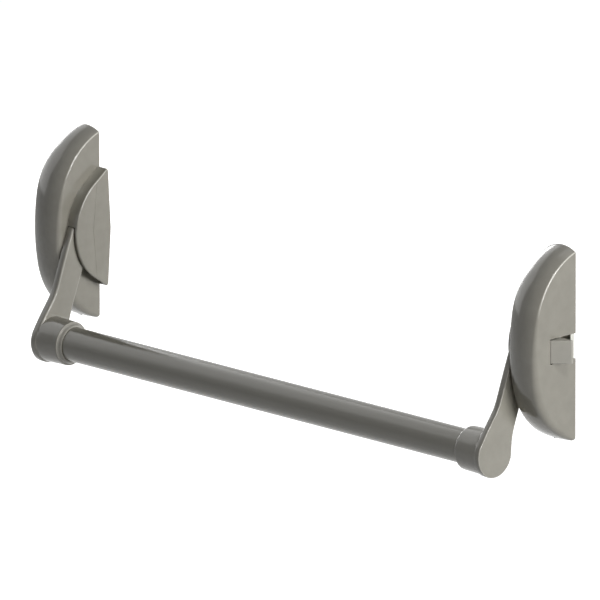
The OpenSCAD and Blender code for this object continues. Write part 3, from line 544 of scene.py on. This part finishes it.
# The slab is made on its side, so its x, y and z become z, -x and -y
bolt = rounded_slab("latch_bolt_casting", bolt_outline(), bolt_middle - bolt_half, bolt_middle + bolt_half,
                    bolt_edge, bolt_edge)
across, x_place, up = mesh_points(bolt.data).T
set_points(bolt.data, np.column_stack([-x_place, -up, across]))
bolt_paint = satin_paint("bolt_grey", (0.425, 0.412, 0.366), 0.34)
dress(bolt, bolt_paint, "latch_bolt_slide", "latch_bolt")

# Base plates, frames and bolt guide: pressed and bent steel, zinc plated with a
# clear passivation. The plates are screwed to the door and the frames are
# riveted to them.


def plated_steel(name, colour, rough, grain):
    """Zinc-plated or ground steel: metal with a cloudy colour and a fine grain drawn
    along the rolling direction in its roughness and bump."""
    material = bpy.data.materials.new(name)
    material.use_nodes = True
    nodes, links = material.node_tree.nodes, material.node_tree.links
    shader = nodes["Principled BSDF"]
    shader.inputs["Metallic"].default_value = 1.0
    place = nodes.new("ShaderNodeTexCoord").outputs["Object"]
    stretch = nodes.new("ShaderNodeMapping")
    stretch.inputs["Scale"].default_value = grain
    links.new(place, stretch.inputs["Vector"])
    tint = nodes.new("ShaderNodeMix")
    tint.data_type = "RGBA"
    tint.inputs["A"].default_value = (*[c * 0.88 for c in colour], 1)
    tint.inputs["B"].default_value = (*[c * 1.08 for c in colour], 1)
    links.new(spread(nodes, links, noise_at(nodes, links, 140, 4, place), 0, 1), tint.inputs["Factor"])
    links.new(tint.outputs["Result"], shader.inputs["Base Color"])
    drawn = noise_at(nodes, links, 1500, 3, stretch.outputs["Vector"])
    links.new(spread(nodes, links, drawn, rough - 0.08, rough + 0.08), shader.inputs["Roughness"])
    scratch = nodes.new("ShaderNodeBump")
    scratch.inputs["Strength"].default_value = 0.1
    scratch.inputs["Distance"].default_value = 0.0001
    links.new(drawn, scratch.inputs["Height"])
    links.new(scratch.outputs["Normal"], shader.inputs["Normal"])
    return material


def finish_nodes(material, *nodes):
    """Gives CAD nodes, which keep their shape, one material in their only slot."""
    for node in nodes:
        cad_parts[node].data.materials.clear()
        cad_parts[node].data.materials.append(material)


zinc_plate = plated_steel("zinc_plated_sheet", (0.62, 0.62, 0.57), 0.38, (1, 1, 0.1))
finish_nodes(zinc_plate, "latch_base_plate", "pivot_base_plate", "latch_frame", "pivot_frame", "bolt_guide",
             "bolt_tail_plate")

# Spindles, cam, crank and pins: machined and hardened steel, with squares for the
# arms and the cam, round journals in the bushes, a bell crank on its post and the
# pins between them.
machined_steel = plated_steel("machined_steel", (0.56, 0.57, 0.58), 0.30, (0.1, 1, 1))
finish_nodes(machined_steel, "latch_spindle", "pivot_spindle", "drive_cam", "return_hub", "bell_crank",
             "crank_drive_pin", "crank_post", "bolt_pin")

# Screws, rivets and rings: bright plated fasteners. They are the covers' and
# cheeks' screws, the grub screws under the cups, the frames' rivets and the
# spring-steel rings on the spindles.
bright_fastener = plated_steel("bright_fastener", (0.66, 0.67, 0.68), 0.24, (1, 1, 1))
finish_nodes(bright_fastener, "latch_cover_screw", "pivot_cover_screw", "latch_cheek_screws",
             "pivot_cheek_screws", "tube_grub_screws", "latch_frame_rivets", "pivot_frame_rivets",
             "bolt_rivets", "crank_circlip", "cam_circlip", "hub_circlip")

# Springs: two torsion springs of oil-tempered wire, dark and slightly glossy. One
# brings the bar back, the other the bell crank. Each has a leg on the frame and
# one on the part that turns, and winds up between them.
spring_wire = plated_steel("spring_wire", (0.24, 0.24, 0.25), 0.32, (1, 1, 1))


def wound_spring(node):
    """Copy of a spring's wire, merged to one skin, shaded smooth and given the spring wire, with its place
    baked in and its CAD node hidden."""
    spring = bpy.data.objects.new(node + "_wound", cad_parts[node].data.copy())
    bpy.context.scene.collection.objects.link(spring)
    wire = bmesh.new()
    wire.from_mesh(spring.data)
    bmesh.ops.remove_doubles(wire, verts=wire.verts, dist=1e-6)
    wire.to_mesh(spring.data)
    wire.free()
    spring.data.shade_smooth()
    spring.data.set_sharp_from_angle(angle=math.radians(50))
    spring.data.materials.clear()
    spring.data.materials.append(spring_wire)
    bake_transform(spring)
    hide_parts(node)


wound_spring("return_spring")
wound_spring("crank_spring")

# Bushes: sintered bronze with a flange, pressed into the frames' walls. Their
# surface shows the pores of the sintering.
bush_bronze = plated_steel("sintered_bronze", (0.60, 0.42, 0.20), 0.42, (1, 1, 1))
finish_nodes(bush_bronze, "latch_spindle_bush", "pivot_spindle_bush", "pivot_inner_bush")

# Plastic bushes and rubber buffers: black acetal rings in the cheeks' pockets, and
# two moulded rubber blocks that stop the return hub at each end of the bar's
# travel. Both have a deeper grain than the paint.
black_acetal = satin_paint("black_acetal", (0.045, 0.045, 0.045), 0.45, peel=0.25, waves=1200)
finish_nodes(black_acetal, "latch_cheek_bush", "pivot_cheek_bush")
buffer_rubber = satin_paint("buffer_rubber", (0.030, 0.030, 0.030), 0.75, peel=0.25, waves=700)
finish_nodes(buffer_rubber, "stop_buffers")

# Floor and backdrop: a pale floor well below the bar, which hangs on a door in
# use. Both are white to the camera and in reflections, and dim as light.
floor_z, floor_half = -0.60, 60.0
floor_mesh = bpy.data.meshes.new("floor")
floor_mesh.from_pydata([(x * floor_half, y * floor_half, floor_z)
                        for x, y in ((-1, -1), (1, -1), (1, 1), (-1, 1))], [], [(0, 1, 2, 3)])
floor = bpy.data.objects.new("floor", floor_mesh)
bpy.context.scene.collection.objects.link(floor)


def seen_or_lit(nodes, links, seen, lit, surface):
    """Joins two shaders to an output: the first for camera, glossy and transmission
    rays, by the largest of those outputs of Light Path, and the second for the rest."""
    path = nodes.new("ShaderNodeLightPath")
    share = path.outputs["Is Camera Ray"]
    for ray in ("Is Glossy Ray", "Is Transmission Ray"):
        larger = nodes.new("ShaderNodeMath")
        larger.operation = "MAXIMUM"
        links.new(share, larger.inputs[0])
        links.new(path.outputs[ray], larger.inputs[1])
        share = larger.outputs["Value"]
    choose = nodes.new("ShaderNodeMixShader")
    links.new(share, choose.inputs["Fac"])
    links.new(lit, choose.inputs[1])
    links.new(seen, choose.inputs[2])
    links.new(choose.outputs["Shader"], surface)


pale = bpy.data.materials.new("pale_floor")
pale.use_nodes = True
nodes, links = pale.node_tree.nodes, pale.node_tree.links
matt = nodes["Principled BSDF"]
matt.inputs["Base Color"].default_value = (0.60, 0.60, 0.60, 1)
matt.inputs["Roughness"].default_value = 0.9
matt.inputs["Specular IOR Level"].default_value = 0.0
lift = nodes.new("ShaderNodeEmission")
lift.inputs["Color"].default_value = (1, 1, 1, 1)
lift.inputs["Strength"].default_value = 0.95
both = nodes.new("ShaderNodeAddShader")
links.new(matt.outputs["BSDF"], both.inputs[0])
links.new(lift.outputs["Emission"], both.inputs[1])
seen_or_lit(nodes, links, both.outputs["Shader"], matt.outputs["BSDF"],
            nodes["Material Output"].inputs["Surface"])
floor_mesh.materials.append(pale)

world = bpy.data.worlds.new("studio")
bpy.context.scene.world = world
world.use_nodes = True
nodes, links = world.node_tree.nodes, world.node_tree.links
dim, white = nodes["Background"], nodes.new("ShaderNodeBackground")
for sky, strength in ((dim, 0.02), (white, 1.0)):
    sky.inputs["Color"].default_value = (1, 1, 1, 1)
    sky.inputs["Strength"].default_value = strength
seen_or_lit(nodes, links, white.outputs["Background"], dim.outputs["Background"],
            nodes["World Output"].inputs["Surface"])

# Studio lamps: a large one far to the right lights the object, with a weak one
# above. One behind on the left and a small one above the latch case light the
# covers' edges, and a panel on the left shows in the gloss alone.


def lamp(name, place, size, power):
    """Square area lamp at a place, aimed at the middle of the bar: size in m, power in W."""
    light = bpy.data.lights.new(name, "AREA")
    light.size = size
    light.energy = power
    light.color = (1, 1, 1)
    body = bpy.data.objects.new(name, light)
    bpy.context.scene.collection.objects.link(body)
    body.location = place
    body.rotation_mode = "QUATERNION"
    body.rotation_quaternion = (Vector(view_middle) - Vector(place)).to_track_quat("-Z", "Y")
    body.visible_camera = False
    return body


lamp("side_lamp", (9.0, 1.5, 1.6), 3.6, 595.0)
lamp("top_lamp", (-0.4, 0.6, 3.0), 1.2, 4.0)
lamp("rim_lamp", (-3.42, 1.12, 0.70), 1.7, 53.0)
lamp("edge_lamp", (1.7, -0.9, 2.25), 0.5, 22.0)
panel = lamp("reflector_panel", (-3.2, -0.3, 1.75), 4.2, 62.0)
panel.data.shape = "RECTANGLE"
panel.data.size_y = 3.4
panel.rotation_quaternion = Vector((1, 0, 0)).to_track_quat("-Z", "Y")
panel.visible_diffuse = False

bpy.context.scene.view_settings.view_transform = "Standard"
